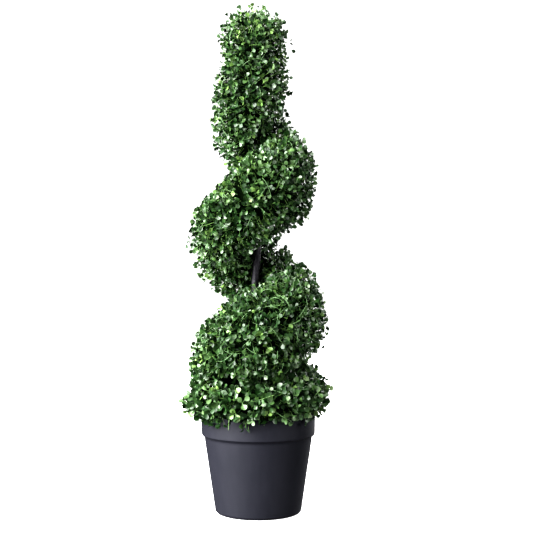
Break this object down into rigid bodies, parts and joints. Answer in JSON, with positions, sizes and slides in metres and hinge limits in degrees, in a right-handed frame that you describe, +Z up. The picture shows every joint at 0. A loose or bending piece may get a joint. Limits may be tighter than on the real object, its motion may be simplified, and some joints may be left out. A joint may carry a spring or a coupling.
{
  "type": "artificial boxwood spiral topiary in a plastic pot",
  "caption": "Potted artificial topiary: a rope of small box leaves wound as a climbing spiral round an upright rod, in a tapered plastic pot.",
  "frame": {"origin": "middle of the pot's flat underside", "axes": "+Z up along the plant; the pictured side faces -Y, with +X to its right; the spiral starts on the -X side and climbs anticlockwise as seen from above"},
  "size_m": [0.2582, 0.2514, 0.8933],
  "materials": {
    "pot": "dark charcoal, fine matte grain",
    "filling": "rough dark cast filling",
    "trunk": "dark film wrap, soft sheen",
    "foliage": "moulded leaves, satin to glossy"
  },
  "bodies": {
    "root": {"pot": "pot", "pot_fill": "filling", "trunk": "trunk", "foliage_01": "foliage", "foliage_02": "foliage", "foliage_03": "foliage", "foliage_04": "foliage", "foliage_05": "foliage", "foliage_06": "foliage", "foliage_07": "foliage", "foliage_08": "foliage", "foliage_09": "foliage", "foliage_10": "foliage"}
  },
  "joints": []
}
